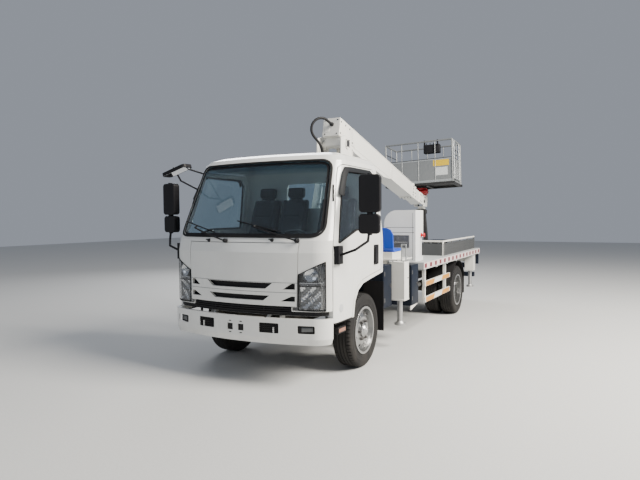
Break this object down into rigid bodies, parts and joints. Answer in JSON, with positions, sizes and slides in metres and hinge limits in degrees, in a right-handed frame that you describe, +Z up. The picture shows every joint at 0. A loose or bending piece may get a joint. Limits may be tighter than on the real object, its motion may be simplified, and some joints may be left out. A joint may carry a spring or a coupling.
{
  "type": "aerial platform truck",
  "caption": "White light truck with a tilting cab, a slewing telescopic boom on its column, a levelled tube work basket, outriggers, a console and an operator seat.",
  "frame": {"origin": "on the ground under the middle of the bounding box of the parked truck", "axes": "+X to the truck's left, +Y to its rear, +Z up; the cab faces -Y"},
  "size_m": [2.7788, 6.7883, 3.1925],
  "materials": {
    "white_paint": "gloss",
    "chassis_black": "satin",
    "navy_paint": "semi gloss",
    "deck_paint": "matt",
    "red_paint": "gloss",
    "bare_steel": "brushed",
    "hard_chrome": "polished",
    "engine_iron": "cast",
    "wheel_silver": "polished",
    "tyre_rubber": "matt",
    "black_plastic": "grained",
    "grey_plastic": "grained",
    "seat_blue": "gloss",
    "cover_white": "satin",
    "lamp_clear": "clear",
    "seat_fabric": "woven",
    "cab_glazing": "tinted",
    "hose_rubber": "satin"
  },
  "bodies": {
    "chassis": {"frame_rails": "chassis_black", "subframe": "white_paint", "deck": "deck_paint", "deck_tray": "white_paint", "lockers": "navy_paint", "side_guards": "white_paint", "mudguards": "black_plastic", "boom_rest": "chassis_black", "front_axle": "chassis_black", "rear_axle": "chassis_black", "leaf_springs": "chassis_black", "power_unit": "engine_iron", "fuel_tank": "chassis_black", "exhaust": "bare_steel", "bumper": "white_paint", "operator_station": "cover_white", "operator_seat": "seat_blue", "seat_stand": "white_paint", "rear_bar": "navy_paint"},
    "knuckle_left": {"knuckle_left": "engine_iron"},
    "knuckle_right": {"knuckle_right": "engine_iron"},
    "wheel_front_left": {"tyre_front_left": "tyre_rubber", "rim_front_left": "wheel_silver"},
    "wheel_front_right": {"tyre_front_right": "tyre_rubber", "rim_front_right": "wheel_silver"},
    "wheels_rear_left": {"tyres_rear_left": "tyre_rubber", "rims_rear_left": "wheel_silver"},
    "wheels_rear_right": {"tyres_rear_right": "tyre_rubber", "rims_rear_right": "wheel_silver"},
    "cab": {"cab_shell": "white_paint", "cab_glass": "cab_glazing", "grille": "black_plastic", "headlamps": "lamp_clear", "cab_interior": "grey_plastic", "cab_seats": "seat_fabric", "look_down_mirror": "black_plastic"},
    "front_lid": {"front_lid": "white_paint"},
    "door_left": {"door_left": "white_paint", "door_glass_left": "cab_glazing", "mirror_left": "black_plastic"},
    "door_right": {"door_right": "white_paint", "door_glass_right": "cab_glazing", "mirror_right": "black_plastic"},
    "column": {"column": "white_paint", "hose": "hose_rubber"},
    "luff_barrel": {"luff_barrel": "white_paint"},
    "luff_ram": {"luff_ram": "hard_chrome"},
    "boom_base": {"boom_base": "white_paint"},
    "boom_middle": {"boom_middle": "white_paint"},
    "boom_inner": {"boom_inner": "white_paint"},
    "basket_carrier": {"basket_carrier": "white_paint", "basket_drive": "red_paint"},
    "basket": {"basket": "white_paint", "basket_floor": "chassis_black"},
    "outrigger_left": {"outrigger_beam_left": "white_paint"},
    "outrigger_right": {"outrigger_beam_right": "white_paint"},
    "jack_front_left": {"jack_front_left": "bare_steel"},
    "jack_front_right": {"jack_front_right": "bare_steel"},
    "jack_rear_left": {"jack_rear_left": "bare_steel"},
    "jack_rear_right": {"jack_rear_right": "bare_steel"}
  },
  "joints": [
    {"name": "steer_left", "type": "hinge", "parent": "chassis", "child": "knuckle_left", "pos_m": [0.725, -2.264, 0.413], "axis": [0, 0, 1], "range_deg": [-35, 35]},
    {"name": "steer_right", "type": "hinge", "parent": "chassis", "child": "knuckle_right", "pos_m": [-0.725, -2.264, 0.413], "axis": [0, 0, 1], "range_deg": [-35, 35]},
    {"name": "wheel_front_left_spin", "type": "hinge", "parent": "knuckle_left", "child": "wheel_front_left", "pos_m": [0.838, -2.264, 0.413], "axis": [1, 0, 0], "continuous": true},
    {"name": "wheel_front_right_spin", "type": "hinge", "parent": "knuckle_right", "child": "wheel_front_right", "pos_m": [-0.838, -2.264, 0.413], "axis": [1, 0, 0], "continuous": true},
    {"name": "wheels_rear_left_spin", "type": "hinge", "parent": "chassis", "child": "wheels_rear_left", "pos_m": [0.828, 1.551, 0.413], "axis": [1, 0, 0], "continuous": true},
    {"name": "wheels_rear_right_spin", "type": "hinge", "parent": "chassis", "child": "wheels_rear_right", "pos_m": [-0.828, 1.551, 0.413], "axis": [1, 0, 0], "continuous": true},
    {"name": "cab_tilt", "type": "hinge", "parent": "chassis", "child": "cab", "pos_m": [0, -3.339, 0.64], "axis": [1, 0, 0], "range_deg": [0, 45]},
    {"name": "front_lid_hinge", "type": "hinge", "parent": "cab", "child": "front_lid", "pos_m": [0, -3.333, 1.4275], "axis": [-1, 0, 0], "range_deg": [0, 65]},
    {"name": "door_left_hinge", "type": "hinge", "parent": "cab", "child": "door_left", "pos_m": [0.966, -3.114, 1.4], "axis": [0, 0, -1], "range_deg": [0, 70]},
    {"name": "door_right_hinge", "type": "hinge", "parent": "cab", "child": "door_right", "pos_m": [-0.966, -3.114, 1.4], "axis": [0, 0, 1], "range_deg": [0, 70]},
    {"name": "slew", "type": "hinge", "parent": "chassis", "child": "column", "pos_m": [0, -1.294, 1.09], "axis": [0, 0, 1], "continuous": true},
    {"name": "boom_luff", "type": "hinge", "parent": "column", "child": "boom_base", "pos_m": [0, -1.064, 2.68], "axis": [1, 0, 0], "range_deg": [0, 85], "deforming": ["hose"]},
    {"name": "luff_barrel_swing", "type": "hinge", "parent": "column", "child": "luff_barrel", "pos_m": [0, -1.064, 1.32], "axis": [1, 0, 0], "range_deg": [0, 3.43]},
    {"name": "luff_ram_slide", "type": "slide", "parent": "luff_barrel", "child": "luff_ram", "axis": [0, 0.1833, 0.9831], "range_m": [0, 0.3767]},
    {"name": "boom_extend", "type": "slide", "parent": "boom_base", "child": "boom_middle", "axis": [0, 0.9744, -0.225], "range_m": [0, 2.6]},
    {"name": "boom_inner_extend", "type": "slide", "parent": "boom_middle", "child": "boom_inner", "axis": [0, 0.9744, -0.225], "range_m": [0, 2.6]},
    {"name": "carrier_level", "type": "hinge", "parent": "boom_inner", "child": "basket_carrier", "pos_m": [0, 2.75705, 1.98258], "axis": [1, 0, 0], "range_deg": [-85, 0]},
    {"name": "basket_swing", "type": "hinge", "parent": "basket_carrier", "child": "basket", "pos_m": [0, 2.936, 2.31], "axis": [-0.0419, 0.0697, 0.9967], "range_deg": [-90, 90]},
    {"name": "outrigger_left_slide", "type": "slide", "parent": "chassis", "child": "outrigger_left", "axis": [1, 0, 0], "range_m": [0, 0.55]},
    {"name": "outrigger_right_slide", "type": "slide", "parent": "chassis", "child": "outrigger_right", "axis": [-1, 0, 0], "range_m": [0, 0.55]},
    {"name": "jack_front_left_slide", "type": "slide", "parent": "outrigger_left", "child": "jack_front_left", "axis": [0, 0, -1], "range_m": [0, 0.42]},
    {"name": "jack_front_right_slide", "type": "slide", "parent": "outrigger_right", "child": "jack_front_right", "axis": [0, 0, -1], "range_m": [0, 0.42]},
    {"name": "jack_rear_left_slide", "type": "slide", "parent": "chassis", "child": "jack_rear_left", "axis": [0, 0, -1], "range_m": [0, 0.34]},
    {"name": "jack_rear_right_slide", "type": "slide", "parent": "chassis", "child": "jack_rear_right", "axis": [0, 0, -1], "range_m": [0, 0.34]}
  ],
  "couplings": [
    {"joint": "steer_right", "follows": "steer_left", "ratio": 1},
    {"joint": "luff_barrel_swing", "follows": "boom_luff", "ratio": 0.03913},
    {"joint": "luff_ram_slide", "follows": "boom_luff", "m_per_rad": 0.25324},
    {"joint": "boom_inner_extend", "follows": "boom_extend", "ratio": 1},
    {"joint": "carrier_level", "follows": "boom_luff", "ratio": -1}
  ]
}
